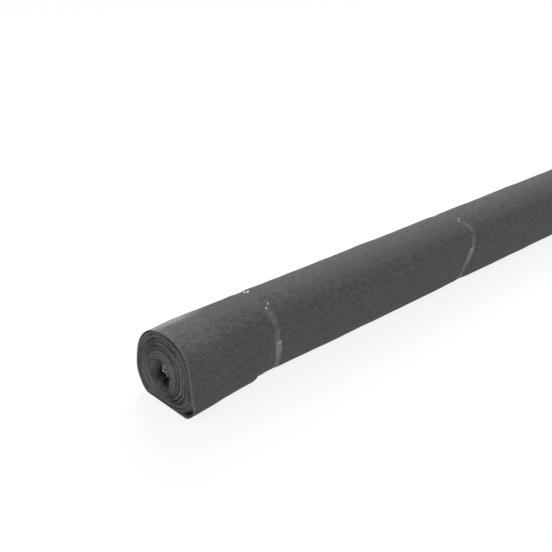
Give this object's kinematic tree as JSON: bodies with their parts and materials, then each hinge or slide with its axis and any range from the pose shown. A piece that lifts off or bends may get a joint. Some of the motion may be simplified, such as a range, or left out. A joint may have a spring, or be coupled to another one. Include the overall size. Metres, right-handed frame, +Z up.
{
  "type": "roll of insect screen mesh",
  "caption": "Soft roll of dark grey woven insect screen cloth, lying on its side, hollow in the middle and held shut by clear tape bands, one end loosened.",
  "frame": {"origin": "on the surface that the roll lies on, below the middle of the box around it", "axes": "+Y along the roll from the loosened end to the plain end, +X towards the side where the loosened turn hangs out, +Z up"},
  "size_m": [0.1249, 1.2, 0.1092],
  "materials": {
    "screen_cloth": "woven glass fibre yarn with a matt dark grey PVC coat",
    "clear_tape": "clear glossy adhesive film"
  },
  "bodies": {
    "root": {"roll": "screen_cloth", "band_near": "clear_tape", "band_middle": "clear_tape", "band_far": "clear_tape"}
  },
  "joints": []
}
